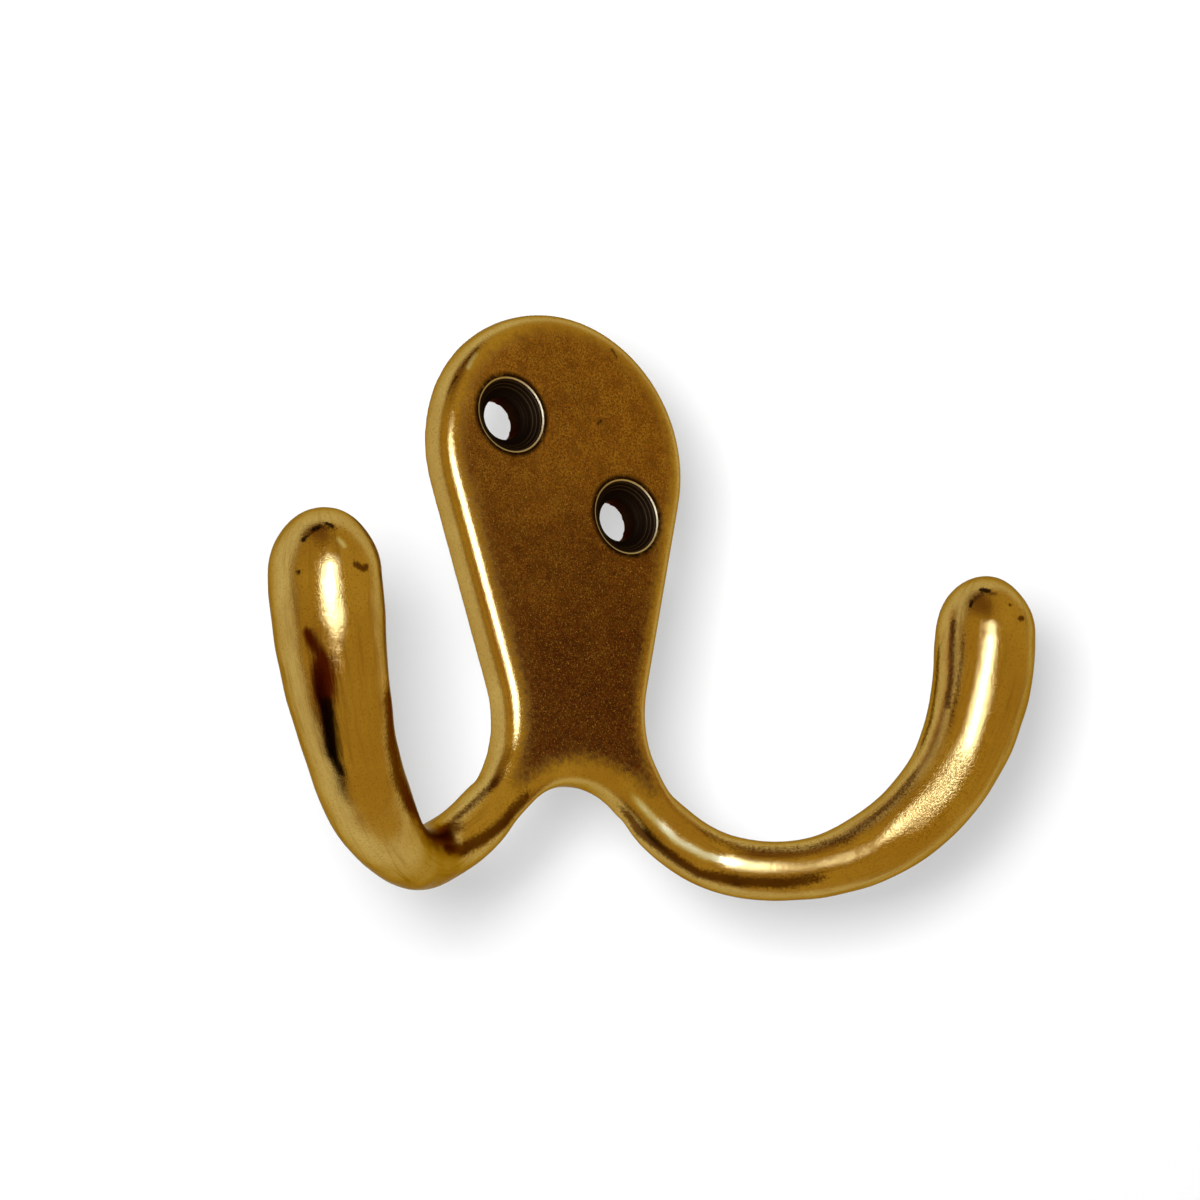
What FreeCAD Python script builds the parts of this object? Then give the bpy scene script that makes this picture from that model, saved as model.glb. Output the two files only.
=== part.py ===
import FreeCAD, Part
import math
import os

import Sketcher

# Double robe hook: one metal casting. A keyhole-shaped back plate with two
# countersunk screw holes splits at its foot into two round arms. They run
# out along the wall, bend forward and turn up into blunt, thickened tips.
#
# Millimetres and degrees. The origin lies on the wall face, midway between
# the two screws. +X is the viewer's right, -Y points away from the wall and
# +Z is up.

# Driving dimensions

SIZES = {
    # back plate
    "plate_thick": 3.3,
    "head_round": 12.9,
    "head_rise": 1.2,
    "waist_half": 7.45,
    "waist_drop": 22.05,
    "waist_round": 9.6,
    "crotch_round": 6.75,
    "edge_round": 1.7,
    # countersunk holes for two 3.5 mm wood screws
    "hole_across": 5.8,
    "hole_up": 4.0,
    "hole_width": 3.8,
    "sink_width": 6.65,
    "sink_angle": 90.0,
    # legs, the plate's two short stubs that the arms grow from
    "leg_slope": 42.2,
    "leg_half_width": 2.2,
    # arm, seen square to its own run
    "arm_cover": 0.4,
    "arm_proud": 0.3,
    "bowl_in_round": 17.2,
    "bowl_out_round": 17.85,
    "bowl_radius": 2.6,
    "swell_radius": 4.3,
    "upturn_slope": 66.0,
    "upturn_round": 27.0,
    "tip_slope": 85.5,
    "tip_radius": 4.4,
    "tip_stretch": 1.1,
    # arm, seen from above
    "leg_lean": 10.1,
    "lean_run": 12.5,
    "forward_round": 8.4,
    "forward_angle": 40.5,
    # the arm's root, buried in the plate, and its end, buried in the dome
    "root_overlap": 4.0,
    "root_sink": 0.6,
    "end_overlap": 2.0,
    "end_sink": 0.4,
}

# Stations along one arm: name, stretch of the run and share of that stretch.
# The run is a leg that slopes down along the wall, the bowl's inner arc down
# to its lowest point, the outer arc, and a wider arc up to the tip, where the
# last section hides inside the dome.

STATIONS = [
    ("root", "leg", 0.0),
    ("leg_end", "inner", 0.0),
    ("inner_one", "inner", 0.25),
    ("inner_two", "inner", 0.5),
    ("inner_three", "inner", 0.75),
    ("bowl", "inner", 1.0),
    ("outer_one", "outer", 0.33),
    ("outer_two", "outer", 0.67),
    ("upturn", "outer", 1.0),
    ("upturn_mid", "upturn", 0.5),
    ("tip", "upturn", 1.0),
    ("buried", "dome", 1.0),
]

# how far the trimming square at the wall face reaches past the origin
TRIM_REACH = 200.0

VEC = FreeCAD.Vector


def fill_sizes(doc):
    """The sheet of driving dimensions, one plain number to a row."""
    sheet = doc.addObject("Spreadsheet::Sheet", "sizes")
    for row, (name, value) in enumerate(SIZES.items(), start=1):
        sheet.set(f"A{row}", name)
        sheet.set(f"B{row}", str(value))
        sheet.setAlias(f"B{row}", name)
    return sheet


def fill_run(doc):
    """The sheet that works out each station of the arm from the sizes."""
    sheet = doc.addObject("Spreadsheet::Sheet", "run")
    row = 0

    def derive(name, formula):
        nonlocal row
        row += 1
        sheet.set(f"A{row}", name)
        sheet.set(f"B{row}", "=" + formula)
        sheet.setAlias(f"B{row}", name)

    # The leg leaves the waist arc on a tangent: reach is the length of the
    # run seen from above and level is the height.
    derive("leg_sine", "sin(sizes.leg_slope * 1deg)")
    derive("leg_cosine", "cos(sizes.leg_slope * 1deg)")
    derive("lean_sine", "sin(sizes.leg_lean * 1deg)")
    derive("lean_cosine", "cos(sizes.leg_lean * 1deg)")
    derive("leg_swing", "sizes.waist_round + sizes.leg_half_width")
    derive("arm_radius", "sizes.leg_half_width + sizes.arm_cover")
    derive("thickening", "sizes.swell_radius - sizes.bowl_radius")
    derive("leg_reach", "sizes.waist_half + sizes.waist_round - leg_swing * leg_sine")
    derive("leg_level", "-sizes.waist_drop - leg_swing * leg_cosine")
    derive("bottom_reach", "leg_reach + sizes.bowl_in_round * leg_sine")
    derive("bottom_level", "leg_level - sizes.bowl_in_round * (1 - leg_cosine)")
    derive("turn_sine", "sin(sizes.upturn_slope * 1deg)")
    derive("turn_cosine", "cos(sizes.upturn_slope * 1deg)")
    derive("turn_reach", "bottom_reach + sizes.bowl_out_round * turn_sine")
    derive("turn_level", "bottom_level + sizes.bowl_out_round * (1 - turn_cosine)")
    # lengths along the arcs, for the growth of the arm's section
    derive("outer_length", "sizes.bowl_out_round * sizes.upturn_slope * pi / 180")
    derive("upturn_span", "(sizes.tip_slope - sizes.upturn_slope) * pi / 180")
    derive("rise_length", "outer_length + sizes.upturn_round * upturn_span / 2")

    for name, stretch, share in STATIONS:
        if stretch == "leg":
            derive(f"{name}_slope", "-sizes.leg_slope")
            derive(f"{name}_reach", "leg_reach - sizes.root_overlap * leg_cosine")
            derive(f"{name}_level", "leg_level + sizes.root_overlap * leg_sine")
            derive(f"{name}_radius", "sizes.leg_half_width - sizes.root_sink")
        elif stretch == "inner":
            derive(f"{name}_slope", f"-sizes.leg_slope * (1 - {share})")
            derive(f"{name}_reach",
                   f"bottom_reach + sizes.bowl_in_round * sin({name}_slope * 1deg)")
            derive(f"{name}_level",
                   f"bottom_level + sizes.bowl_in_round * (1 - cos({name}_slope * 1deg))")
            derive(f"{name}_radius", f"arm_radius + (sizes.bowl_radius - arm_radius) * {share}")
        elif stretch == "outer":
            derive(f"{name}_slope", f"sizes.upturn_slope * {share}")
            derive(f"{name}_reach",
                   f"bottom_reach + sizes.bowl_out_round * sin({name}_slope * 1deg)")
            derive(f"{name}_level",
                   f"bottom_level + sizes.bowl_out_round * (1 - cos({name}_slope * 1deg))")
            derive(f"{name}_grown", f"outer_length * {share} / rise_length")
            derive(f"{name}_radius", f"sizes.bowl_radius + thickening * {name}_grown")
        elif stretch == "dome":
            derive(f"{name}_slope", "sizes.tip_slope")
            derive(f"{name}_reach", "tip_reach + sizes.end_overlap * cos(sizes.tip_slope * 1deg)")
            derive(f"{name}_level", "tip_level + sizes.end_overlap * sin(sizes.tip_slope * 1deg)")
            derive(f"{name}_radius", "sizes.tip_radius - sizes.end_sink")
        else:
            derive(f"{name}_slope",
                   f"sizes.upturn_slope + (sizes.tip_slope - sizes.upturn_slope) * {share}")
            derive(f"{name}_reach",
                   f"turn_reach + sizes.upturn_round * (sin({name}_slope * 1deg) - turn_sine)")
            derive(f"{name}_level",
                   f"turn_level + sizes.upturn_round * (turn_cosine - cos({name}_slope * 1deg))")
            radius = "sizes.tip_radius" if share == 1.0 else "sizes.swell_radius"
            derive(f"{name}_radius", radius)

        # Seen from above: straight at a slight lean off the wall, a round
        # bend forward, then straight on. The centre line leaves the leg with
        # its front crest a little proud of the plate's face.
        bend = f"({name}_reach - sizes.lean_run) / sizes.forward_round * 180 / pi"
        derive(f"{name}_heading",
               f"max(sizes.leg_lean; min(sizes.forward_angle; sizes.leg_lean + {bend}))")
        past = f"max(0; {name}_reach - sizes.lean_run - sizes.forward_round"
        derive(f"{name}_past", past + " * (sizes.forward_angle - sizes.leg_lean) * pi / 180)")
        derive(f"{name}_straight", f"min({name}_reach; sizes.lean_run) - leg_reach")
        derive(f"{name}_across",
               f"leg_reach + {name}_straight * lean_cosine"
               f" + sizes.forward_round * (sin({name}_heading * 1deg) - lean_sine)"
               f" + {name}_past * cos({name}_heading * 1deg)")
        crest = "0 - sizes.root_sink" if stretch == "leg" else "sizes.arm_proud"
        start = f"{name}_radius" if stretch == "leg" else "arm_radius"
        lift = "0" if stretch == "leg" else f"{name}_straight * lean_sine"
        derive(f"{name}_forward",
               f"sizes.plate_thick + {crest} - {start} + {lift}"
               f" + sizes.forward_round * (lean_cosine - cos({name}_heading * 1deg))"
               f" + {name}_past * sin({name}_heading * 1deg)")
    return sheet


def origin_plane(body, role):
    """One of the body's own origin planes."""
    for feature in body.Origin.OriginFeatures:
        if feature.Role == role:
            return feature
    raise ValueError(role)


def flat_sketch(body, name, role="XZ_Plane"):
    """An empty sketch on an origin plane of the body."""
    sketch = body.newObject("Sketcher::SketchObject", name)
    sketch.AttachmentSupport = [(origin_plane(body, role), "")]
    sketch.MapMode = "FlatFace"
    return sketch


def drive(sketch, constraint, name, formula):
    """Add a named constraint to a sketch and bind it to a formula."""
    index = sketch.addConstraint(constraint)
    sketch.renameConstraint(index, name)
    sketch.setExpression(f"Constraints.{name}", formula)


def plate_outline(body):
    """The plate's outline: round head, hollow waist and two short legs.

    Right and left halves carry the same pieces. The starting points are
    worked out from the sizes, and the constraints then hold the outline.
    """
    sketch = flat_sketch(body, "plate_outline")
    size = SIZES
    slope = math.radians(size["leg_slope"])
    head = VEC(0, size["head_rise"], 0)
    waist = VEC(size["waist_half"] + size["waist_round"], -size["waist_drop"], 0)
    # the flank touches the head's round and the waist's round from opposite sides
    between = waist - head
    turn = math.acos((size["head_round"] + size["waist_round"]) / between.Length)
    lean = math.atan2(between.y, between.x) + turn
    outward = VEC(math.cos(lean), math.sin(lean), 0)
    down = VEC(-math.sin(slope), -math.cos(slope), 0)
    top = head + outward * size["head_round"]
    foot = waist - outward * size["waist_round"]
    upper = waist + down * size["waist_round"]
    lower = upper + down * (2 * size["leg_half_width"])
    crotch_level = lower.y + lower.x * math.tan(slope) - size["crotch_round"] / math.cos(slope)
    crotch = VEC(0, crotch_level, 0)
    fork = crotch - down * size["crotch_round"]
    up = VEC(0, 0, 1)

    def arc(centre, radius, first, last):
        start = math.atan2(first.y - centre.y, first.x - centre.x)
        end = math.atan2(last.y - centre.y, last.x - centre.x)
        return Part.ArcOfCircle(Part.Circle(centre, up, radius), start, end)

    def mirrored(point):
        return VEC(-point.x, point.y, 0)

    head_arc = sketch.addGeometry(arc(head, size["head_round"], top, mirrored(top)))
    crotch_arc = sketch.addGeometry(arc(crotch, size["crotch_round"], fork, mirrored(fork)))
    pairs = []
    for side in (1, -1):
        place = (lambda p: p) if side == 1 else mirrored
        flank = sketch.addGeometry(Part.LineSegment(place(top), place(foot)))
        if side == 1:
            round_in = arc(waist, size["waist_round"], foot, upper)
        else:
            round_in = arc(place(waist), size["waist_round"], place(upper), place(foot))
        waist_arc = sketch.addGeometry(round_in)
        leg_end = sketch.addGeometry(Part.LineSegment(place(upper), place(lower)))
        underside = sketch.addGeometry(Part.LineSegment(place(lower), place(fork)))
        pairs.append((flank, waist_arc, leg_end, underside))

    tie = Sketcher.Constraint
    start, end, centre = 1, 2, 3
    for (flank, waist_arc, leg_end, underside), first in zip(pairs, (True, False)):
        near, far = (start, end) if first else (end, start)
        sketch.addConstraint(tie("Tangent", head_arc, near, flank, start))
        sketch.addConstraint(tie("Tangent", flank, end, waist_arc, near))
        sketch.addConstraint(tie("Perpendicular", waist_arc, far, leg_end, start))
        sketch.addConstraint(tie("Coincident", leg_end, end, underside, start))
        sketch.addConstraint(tie("Perpendicular", leg_end, underside))
        sketch.addConstraint(tie("Tangent", underside, end, crotch_arc, near))
    sketch.addConstraint(tie("PointOnObject", head_arc, centre, -2))
    sketch.addConstraint(tie("PointOnObject", crotch_arc, centre, -2))
    right, left = pairs
    sketch.addConstraint(tie("Symmetric", right[1], centre, left[1], centre, -2))
    sketch.addConstraint(tie("Equal", right[1], left[1]))
    sketch.addConstraint(tie("Equal", right[2], left[2]))
    drive(sketch, tie("DistanceY", -1, 1, head_arc, centre, size["head_rise"]),
          "head_rise", "sizes.head_rise")
    drive(sketch, tie("Radius", head_arc, size["head_round"]),
          "head_round", "sizes.head_round")
    drive(sketch, tie("DistanceX", -1, 1, right[1], centre, waist.x),
          "waist_centre", "sizes.waist_half + sizes.waist_round")
    drive(sketch, tie("DistanceY", right[1], centre, -1, 1, -waist.y),
          "waist_drop", "sizes.waist_drop")
    drive(sketch, tie("Radius", right[1], size["waist_round"]),
          "waist_round", "sizes.waist_round")
    drive(sketch, tie("Distance", right[2], 2 * size["leg_half_width"]),
          "leg_width", "2 * sizes.leg_half_width")
    drive(sketch, tie("Radius", crotch_arc, size["crotch_round"]),
          "crotch_round", "sizes.crotch_round")
    drive(sketch, tie("DistanceX", -1, 1, right[2], start, upper.x),
          "leg_reach",
          "sizes.waist_half + sizes.waist_round * (1 - sin(sizes.leg_slope * 1deg))")
    return sketch


def front_rim(shape, thick):
    """Names of the edges that lie all the way in the plate's front face."""
    names = []
    for index, edge in enumerate(shape.Edges, start=1):
        box = edge.BoundBox
        if abs(box.YMin + thick) < 1e-4 and abs(box.YMax + thick) < 1e-4:
            names.append(f"Edge{index}")
    return names


def add_plate(doc, body):
    """The plate: its outline padded forward and its front rim rounded."""
    outline = plate_outline(body)
    plate = body.newObject("PartDesign::Pad", "plate")
    plate.Profile = outline
    plate.setExpression("Length", "sizes.plate_thick")
    doc.recompute()
    rim = body.newObject("PartDesign::Fillet", "plate_rim")
    rim.Base = (plate, front_rim(plate.Shape, SIZES["plate_thick"]))
    rim.setExpression("Radius", "sizes.edge_round")
    doc.recompute()
    return rim


def station_placement(name, square=True):
    """Formula that places a sketch at one station of the arm.

    The wall plane's own axes are across, up and forward. Square to the arm,
    the sketch's first axis points forward and its second axis upward.
    Otherwise its first axis runs along the arm.
    """
    place = f"vector(run.{name}_across; run.{name}_level; run.{name}_forward)"
    heading = f"rotationy(-run.{name}_heading)"
    slope = f"rotationz(run.{name}_slope)"
    turn = " * rotationy(-90)" if square else ""
    return f"placement({place}; {heading} * {slope}{turn})"


def arm_section(body, name):
    """The arm's round section at one station."""
    sketch = flat_sketch(body, f"arm_{name}")
    sketch.setExpression("AttachmentOffset", station_placement(name))
    circle = sketch.addGeometry(Part.Circle(VEC(0, 0, 0), VEC(0, 0, 1), 3))
    sketch.addConstraint(Sketcher.Constraint("Coincident", circle, 3, -1, 1))
    drive(sketch, Sketcher.Constraint("Radius", circle, 3.0),
          "radius", f"run.{name}_radius")
    return sketch


def dome_profile(body, name):
    """Half of the tip's dome, a quarter of an oval along the arm's own line."""
    sketch = flat_sketch(body, "dome_profile")
    sketch.setExpression("AttachmentOffset", station_placement(name, square=False))
    whole = Part.Ellipse(VEC(5.6, 0, 0), VEC(0, 4.4, 0), VEC(0, 0, 0))
    quarter = sketch.addGeometry(Part.ArcOfEllipse(whole, 0, math.pi / 2))
    sketch.exposeInternalGeometry(quarter)
    long_axis, short_axis = quarter + 1, quarter + 2
    axis = sketch.addGeometry(Part.LineSegment(VEC(0, 0, 0), VEC(5.6, 0, 0)))
    base = sketch.addGeometry(Part.LineSegment(VEC(0, 4.4, 0), VEC(0, 0, 0)))
    tie = Sketcher.Constraint
    sketch.addConstraint(tie("Coincident", quarter, 3, -1, 1))
    sketch.addConstraint(tie("Horizontal", long_axis))
    sketch.addConstraint(tie("Coincident", axis, 1, -1, 1))
    sketch.addConstraint(tie("Coincident", axis, 2, quarter, 1))
    sketch.addConstraint(tie("PointOnObject", axis, 2, -1))
    sketch.addConstraint(tie("Coincident", base, 1, quarter, 2))
    sketch.addConstraint(tie("Coincident", base, 2, -1, 1))
    sketch.addConstraint(tie("PointOnObject", base, 1, -2))
    drive(sketch, tie("Distance", long_axis, 11.2), "length",
          "2 * (sizes.tip_radius + sizes.tip_stretch)")
    drive(sketch, tie("Distance", short_axis, 8.8), "radius", "2 * sizes.tip_radius")
    return sketch


def add_arm(doc, body):
    """The right arm, lofted through its sections and closed by a dome."""
    sections = [arm_section(body, name) for name, _, _ in STATIONS]
    doc.recompute()
    arm = body.newObject("PartDesign::AdditiveLoft", "arm")
    arm.Profile = sections[0]
    arm.Sections = sections[1:]
    arm.Ruled = False
    doc.recompute()
    profile = dome_profile(body, "tip")
    doc.recompute()
    dome = body.newObject("PartDesign::Revolution", "tip_dome")
    dome.Profile = profile
    dome.ReferenceAxis = (profile, ["H_Axis"])
    dome.Angle = 360
    doc.recompute()
    return arm, dome


def mirror_arm(doc, body, features):
    """The left arm, mirrored across the hook's middle."""
    mirror = body.newObject("PartDesign::Mirrored", "left_arm")
    mirror.Originals = list(features)
    mirror.MirrorPlane = (origin_plane(body, "YZ_Plane"), [""])
    body.Tip = mirror
    doc.recompute()
    return mirror


def flatten_back(doc, body):
    """Trim the legs flush with the wall face, so the back lies flat."""
    sketch = flat_sketch(body, "wall_face")
    far = TRIM_REACH
    corners = [VEC(-far, -far, 0), VEC(far, -far, 0), VEC(far, far, 0), VEC(-far, far, 0)]
    for first, last in zip(corners, corners[1:] + corners[:1]):
        sketch.addGeometry(Part.LineSegment(first, last))
    for index in range(4):
        following = (index + 1) % 4
        sketch.addConstraint(Sketcher.Constraint("Coincident", index, 2, following, 1))
        sketch.addConstraint(Sketcher.Constraint("Block", index))
    trim = body.newObject("PartDesign::Pocket", "flat_back")
    trim.Profile = sketch
    trim.Type = "ThroughAll"
    doc.recompute()
    return trim


def add_holes(doc, body):
    """Two countersunk screw holes on a slant, sunk from the front face."""
    sketch = flat_sketch(body, "screw_places")
    face = "placement(vector(0; 0; sizes.plate_thick); rotationx(0))"
    sketch.setExpression("AttachmentOffset", face)
    for name, side in (("upper", -1), ("lower", 1)):
        across, level = side * SIZES["hole_across"], -side * SIZES["hole_up"]
        circle = sketch.addGeometry(Part.Circle(VEC(across, level, 0), VEC(0, 0, 1), 1.9))
        drive(sketch, Sketcher.Constraint("Diameter", circle, SIZES["hole_width"]),
              f"{name}_width", "sizes.hole_width")
        drive(sketch, Sketcher.Constraint("DistanceX", -1, 1, circle, 3, across),
              f"{name}_across", f"{side} * sizes.hole_across")
        drive(sketch, Sketcher.Constraint("DistanceY", -1, 1, circle, 3, level),
              f"{name}_up", f"{-side} * sizes.hole_up")
    doc.recompute()
    holes = body.newObject("PartDesign::Hole", "screw_holes")
    holes.Profile = sketch
    holes.DepthType = "ThroughAll"
    holes.HoleCutType = "Countersink"
    holes.setExpression("Diameter", "sizes.hole_width")
    holes.setExpression("HoleCutDiameter", "sizes.sink_width")
    holes.setExpression("HoleCutCountersinkAngle", "sizes.sink_angle")
    doc.recompute()
    return holes


def check(doc, body):
    """Stop if any feature failed or the solid is unsound."""
    for thing in doc.Objects:
        if "Invalid" in thing.State or "Error" in thing.State:
            raise RuntimeError(f"{thing.Name} failed")
    shape = body.Shape
    if shape.isNull() or not shape.isValid() or len(shape.Solids) != 1:
        raise RuntimeError("the casting is not one sound solid")
    return shape


def build():
    doc = FreeCAD.newDocument("double_robe_hook")
    fill_sizes(doc)
    fill_run(doc)
    doc.recompute()
    body = doc.addObject("PartDesign::Body", "hook_casting")
    body.Label = "hook_casting"
    add_plate(doc, body)
    arm = add_arm(doc, body)
    mirror_arm(doc, body, arm)
    flatten_back(doc, body)
    holes = add_holes(doc, body)
    body.Tip = holes
    doc.recompute()
    shape = check(doc, body)
    os.makedirs("parts", exist_ok=True)
    shape.exportStep(f"parts/{body.Label}.step")
    return doc


DOCUMENT = build()
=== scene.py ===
import math

import bmesh
import bpy
import numpy as np
from mathutils import Matrix, Vector


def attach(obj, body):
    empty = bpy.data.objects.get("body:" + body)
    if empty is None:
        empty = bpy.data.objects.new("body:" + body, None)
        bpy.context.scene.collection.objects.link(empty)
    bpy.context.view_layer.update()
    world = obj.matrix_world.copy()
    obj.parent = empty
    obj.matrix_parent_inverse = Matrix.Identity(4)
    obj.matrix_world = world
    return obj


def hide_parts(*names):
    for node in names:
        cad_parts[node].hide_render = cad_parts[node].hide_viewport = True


# Double robe hook in antique brass, dressed around its packed casting.
# The scene is in metres. The sizes and the mesh work are in millimetres.

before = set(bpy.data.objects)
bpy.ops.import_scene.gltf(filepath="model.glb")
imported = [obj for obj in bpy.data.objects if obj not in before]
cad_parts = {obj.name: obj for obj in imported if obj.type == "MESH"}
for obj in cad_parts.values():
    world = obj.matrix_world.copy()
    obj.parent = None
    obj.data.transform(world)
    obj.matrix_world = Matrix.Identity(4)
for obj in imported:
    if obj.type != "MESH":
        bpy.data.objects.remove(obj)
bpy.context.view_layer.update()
MM = 0.001

# The casting's own sizes, as in its source

PLATE_THICK = 3.3
WAIST_HALF, WAIST_DROP, WAIST_ROUND = 7.45, 22.05, 9.6
LEG_SLOPE, LEG_HALF_WIDTH = math.radians(42.2), 2.2
BOWL_IN_ROUND, BOWL_OUT_ROUND = 17.2, 17.85
UPTURN_SLOPE, UPTURN_ROUND, TIP_SLOPE = math.radians(66.0), 27.0, math.radians(85.5)
LEG_LEAN, LEAN_RUN = math.radians(10.1), 12.5
FORWARD_ROUND, FORWARD_ANGLE = 8.4, math.radians(40.5)
ARM_COVER, ARM_PROUD = 0.4, 0.3
HOLE_ACROSS, HOLE_UP, HOLE_RADIUS, SINK_RADIUS = 5.8, 4.0, 1.9, 3.325
# the middle of the round under the fork
CROTCH_LEVEL = -34.6

# How the visible mesh is made

VOXEL = 0.2
POINTS_AT_ONCE = 20000
# forward and back by turns, so that the whole doesn't shrink
SMOOTHING = [0.5, -0.52] * 10
SOFTENING, FACE_SPREAD, FACE_TURNS = 0.6, 0.7, 50
HOLLOW = 0.011
RING_PITCH, RING_HEIGHT = 0.24, 0.012
SOFT_EDGE, STEP_DEPTH = 0.16, 0.05
# how far from a hole's axis its surface is laid anew, and how far the faces are divided
TURNED_REACH, FINER_REACH, FINER_BEFORE = 3.9, 4.2, -0.6


# Mesh of the casting

def new_object(name, mesh):
    thing = bpy.data.objects.new(name, mesh)
    bpy.context.scene.collection.objects.link(thing)
    return thing


def even_mesh(source, voxel):
    """An even, fine copy of a mesh in millimetres."""
    mesh = source.copy()
    mesh.transform(Matrix.Scale(1 / MM, 4))
    thing = new_object("even", mesh)
    remesh = thing.modifiers.new("even", "REMESH")
    remesh.mode = "VOXEL"
    remesh.voxel_size = voxel
    remesh.use_smooth_shade = True
    graph = bpy.context.evaluated_depsgraph_get()
    made = bpy.data.meshes.new_from_object(thing.evaluated_get(graph))
    bpy.data.objects.remove(thing)
    return made


def points_of(mesh):
    points = np.empty(len(mesh.vertices) * 3)
    mesh.vertices.foreach_get("co", points)
    return points.reshape(-1, 3)


def normals_of(mesh):
    normals = np.empty(len(mesh.vertices) * 3)
    mesh.vertices.foreach_get("normal", normals)
    return normals.reshape(-1, 3)


def set_points(mesh, points):
    mesh.vertices.foreach_set("co", points.ravel())
    mesh.update()


def edges_of(mesh):
    edges = np.empty(len(mesh.edges) * 2, int)
    mesh.edges.foreach_get("vertices", edges)
    return edges.reshape(-1, 2)


def relaxed(values, edges, share, turns):
    """Values moved towards the mean of their neighbours, a few turns over."""
    first, second = edges.T
    count = len(values)
    degree = np.maximum(np.bincount(edges.ravel(), minlength=count), 1)[:, None]
    for amount in turns:
        total = np.stack([np.bincount(first, values[second, axis], count)
                          + np.bincount(second, values[first, axis], count)
                          for axis in range(values.shape[1])], axis=1)
        values = values + share[:, None] * amount * (total / degree - values)
    return values


def ramp(value, low, high):
    """0 below low, 1 above high, smooth between."""
    share = np.clip((value - low) / (high - low), 0, 1)
    return share * share * (3 - 2 * share)


# The right arm's centre line

def arm_line(count=260):
    """Points, tangents and lengths along the right arm's centre line."""
    swing = WAIST_ROUND + LEG_HALF_WIDTH
    leg_reach = WAIST_HALF + WAIST_ROUND - swing * math.sin(LEG_SLOPE)
    leg_level = -WAIST_DROP - swing * math.cos(LEG_SLOPE)
    low_reach = leg_reach + BOWL_IN_ROUND * math.sin(LEG_SLOPE)
    low_level = leg_level - BOWL_IN_ROUND * (1 - math.cos(LEG_SLOPE))
    stretches = (BOWL_IN_ROUND * LEG_SLOPE, BOWL_OUT_ROUND * UPTURN_SLOPE,
                 UPTURN_ROUND * (TIP_SLOPE - UPTURN_SLOPE))
    before, after = 5.0, 5.5
    run = np.linspace(-before, sum(stretches) + after, count)
    points = []
    for way in run:
        if way < 0:
            reach = leg_reach + way * math.cos(LEG_SLOPE)
            level = leg_level - way * math.sin(LEG_SLOPE)
        elif way < stretches[0]:
            slope = way / BOWL_IN_ROUND - LEG_SLOPE
            reach = low_reach + BOWL_IN_ROUND * math.sin(slope)
            level = low_level + BOWL_IN_ROUND * (1 - math.cos(slope))
        elif way < stretches[0] + stretches[1]:
            slope = (way - stretches[0]) / BOWL_OUT_ROUND
            reach = low_reach + BOWL_OUT_ROUND * math.sin(slope)
            level = low_level + BOWL_OUT_ROUND * (1 - math.cos(slope))
        else:
            slope = UPTURN_SLOPE + (way - stretches[0] - stretches[1]) / UPTURN_ROUND
            past = max(0.0, slope - TIP_SLOPE) * UPTURN_ROUND
            slope = min(slope, TIP_SLOPE)
            reach = (low_reach + BOWL_OUT_ROUND * math.sin(UPTURN_SLOPE)
                     + past * math.cos(slope)
                     + UPTURN_ROUND * (math.sin(slope) - math.sin(UPTURN_SLOPE)))
            level = (low_level + BOWL_OUT_ROUND * (1 - math.cos(UPTURN_SLOPE))
                     + past * math.sin(slope)
                     + UPTURN_ROUND * (math.cos(UPTURN_SLOPE) - math.cos(slope)))
        heading = LEG_LEAN + (reach - LEAN_RUN) / FORWARD_ROUND
        heading = min(max(heading, LEG_LEAN), FORWARD_ANGLE)
        straight = min(reach, LEAN_RUN) - leg_reach
        past = max(0.0, reach - LEAN_RUN - FORWARD_ROUND * (FORWARD_ANGLE - LEG_LEAN))
        across = (leg_reach + straight * math.cos(LEG_LEAN) + past * math.cos(heading)
                  + FORWARD_ROUND * (math.sin(heading) - math.sin(LEG_LEAN)))
        forward = (PLATE_THICK + ARM_PROUD - LEG_HALF_WIDTH - ARM_COVER
                   + max(straight, 0) * math.sin(LEG_LEAN) + past * math.sin(heading)
                   + FORWARD_ROUND * (math.cos(LEG_LEAN) - math.cos(heading)))
        points.append((across, -forward, level))
    points = np.array(points)
    tangents = np.gradient(points, axis=0)
    tangents /= np.linalg.norm(tangents, axis=1, keepdims=True)
    return points, tangents, run / run[-1]


def along_arm(points):
    """Each point's run along its arm, turn round it, and distance from its line.

    The run is 0 where the arm leaves its leg and 1 at the tip. The turn is 0
    on the side away from the wall and a quarter on the upper, inner side.
    """
    line, tangents, run = arm_line()
    folded = points.copy()
    folded[:, 0] = np.abs(folded[:, 0])
    nearest = np.empty(len(points), int)
    for start in range(0, len(points), POINTS_AT_ONCE):
        few = slice(start, start + POINTS_AT_ONCE)
        apart = folded[few, None, :] - line[None, :, :]
        nearest[few] = np.argmin((apart ** 2).sum(2), axis=1)
    offset = folded - line[nearest]
    tangent = tangents[nearest]
    inner = np.cross(tangent, np.cross((0, 0, 1.0), tangent))
    inner /= np.linalg.norm(inner, axis=1, keepdims=True)
    front = np.cross(inner, tangent)
    front *= np.where(front[:, 1:2] > 0, -1, 1)
    turn = np.arctan2((offset * inner).sum(1), (offset * front).sum(1)) / (2 * math.pi)
    return run[nearest], turn, np.linalg.norm(offset, axis=1)


# Marks on the casting: pits and tarnish, with painted dark reflections and painted highlights

# The kinds, in order: tarnish and painted dark reflections, pits, a painted red reflection, its
# painted dark foot, painted highlights, and a rougher, sandy patch
MARK_KINDS = ("brown", "black", "red", "foot", "painted_highlight", "dull")

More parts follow.
